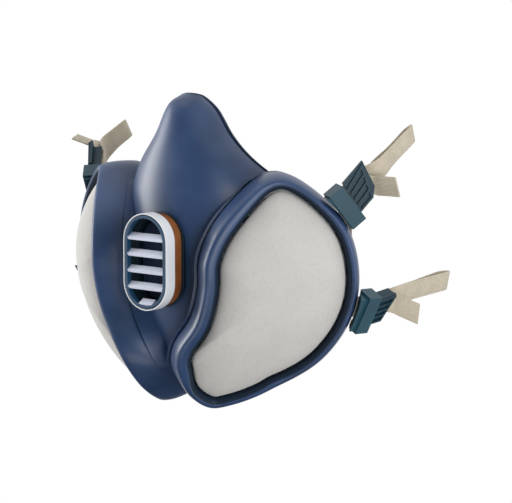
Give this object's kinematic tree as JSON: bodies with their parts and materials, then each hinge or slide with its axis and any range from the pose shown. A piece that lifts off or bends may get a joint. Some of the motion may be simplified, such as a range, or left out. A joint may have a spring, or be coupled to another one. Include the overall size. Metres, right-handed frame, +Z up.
{
  "type": "half-face dust and vapour respirator",
  "caption": "Disposable half-face respirator: rubber facepiece, two cheek filter cartridges, exhalation valve and buckled elastic head harness.",
  "frame": {"origin": "middle of the face opening that the soft seal runs round", "axes": "+X to the wearer's left, -Y to the front, +Z up"},
  "size_m": [0.1644, 0.1086, 0.1258],
  "materials": {
    "rubber": "satin blue-grey elastomer",
    "seal_rubber": "soft matt elastomer",
    "buckle_plastic": "dark teal moulded plastic",
    "felt": "pressed fibre, matt",
    "pale_plastic": "satin",
    "amber_band": "satin orange-brown",
    "housing_plastic": "satin navy",
    "carbon": "packed black granules",
    "steel": "brushed",
    "elastic": "ribbed beige elastic webbing"
  },
  "bodies": {
    "mask": {"buckle_base_lower_L": "buckle_plastic", "buckle_base_lower_R": "buckle_plastic", "buckle_base_upper_L": "buckle_plastic", "buckle_base_upper_R": "buckle_plastic", "buckle_pin_lower_L": "steel", "buckle_pin_lower_R": "steel", "buckle_pin_upper_L": "steel", "buckle_pin_upper_R": "steel", "carbon_bed_L": "carbon", "carbon_bed_R": "carbon", "cartridge_housing_L": "housing_plastic", "cartridge_housing_R": "housing_plastic", "clasp_hook": "buckle_plastic", "clasp_loop": "buckle_plastic", "colour_band": "amber_band", "crown_cradle": "buckle_plastic", "face_seal": "seal_rubber", "facepiece": "rubber", "filter_grid_L": "pale_plastic", "filter_grid_R": "pale_plastic", "filter_pad_L": "felt", "filter_pad_R": "felt", "filter_rim_L": "rubber", "filter_rim_R": "rubber", "inhalation_seat_L": "pale_plastic", "inhalation_seat_R": "pale_plastic", "strap_lower_L": "elastic", "strap_lower_R": "elastic", "strap_upper_L": "elastic", "strap_upper_R": "elastic", "valve_body": "housing_plastic", "valve_cover": "pale_plastic", "valve_grille": "buckle_plastic"},
    "buckle_tongue_lower_L_body": {"buckle_tongue_lower_L": "buckle_plastic"},
    "buckle_tongue_lower_R_body": {"buckle_tongue_lower_R": "buckle_plastic"},
    "buckle_tongue_upper_L_body": {"buckle_tongue_upper_L": "buckle_plastic"},
    "buckle_tongue_upper_R_body": {"buckle_tongue_upper_R": "buckle_plastic"},
    "exhalation_flap_body": {"exhalation_flap": "seal_rubber"},
    "inhalation_flap_L_body": {"inhalation_flap_L": "seal_rubber"},
    "inhalation_flap_R_body": {"inhalation_flap_R": "seal_rubber"}
  },
  "joints": [
    {"name": "exhalation_flap_hinge", "type": "hinge", "parent": "mask", "child": "exhalation_flap_body", "pos_m": [0, -0.04425, 0.0129], "axis": [-1, 0, 0], "range_deg": [0, 7], "stiffness_Nm_per_rad": 0.0001},
    {"name": "inhalation_flap_hinge_L", "type": "hinge", "parent": "mask", "child": "inhalation_flap_L_body", "pos_m": [0.02906, -0.02179, 0.0086], "axis": [0.766, 0.6428, 0], "range_deg": [0, 20], "stiffness_Nm_per_rad": 0.0001},
    {"name": "inhalation_flap_hinge_R", "type": "hinge", "parent": "mask", "child": "inhalation_flap_R_body", "pos_m": [-0.02906, -0.02179, 0.0086], "axis": [0.766, -0.6428, 0], "range_deg": [0, 20], "stiffness_Nm_per_rad": 0.0001},
    {"name": "buckle_upper_L_hinge", "type": "hinge", "parent": "mask", "child": "buckle_tongue_upper_L_body", "pos_m": [0.06511, -0.00892, 0.02106], "axis": [0.2807, 0.5604, -0.7792], "range_deg": [-30, 14], "deforming": ["strap_upper_L"]},
    {"name": "buckle_upper_R_hinge", "type": "hinge", "parent": "mask", "child": "buckle_tongue_upper_R_body", "pos_m": [-0.06511, -0.00892, 0.02106], "axis": [0.2807, -0.5604, 0.7792], "range_deg": [-30, 14], "deforming": ["strap_upper_R"]},
    {"name": "buckle_lower_L_hinge", "type": "hinge", "parent": "mask", "child": "buckle_tongue_lower_L_body", "pos_m": [0.07, -0.00295, -0.02075], "axis": [-0.4565, 0.035, -0.889], "range_deg": [-30, 14], "deforming": ["strap_lower_L"]},
    {"name": "buckle_lower_R_hinge", "type": "hinge", "parent": "mask", "child": "buckle_tongue_lower_R_body", "pos_m": [-0.07, -0.00295, -0.02075], "axis": [-0.4565, -0.035, 0.889], "range_deg": [-30, 14], "deforming": ["strap_lower_R"]}
  ]
}
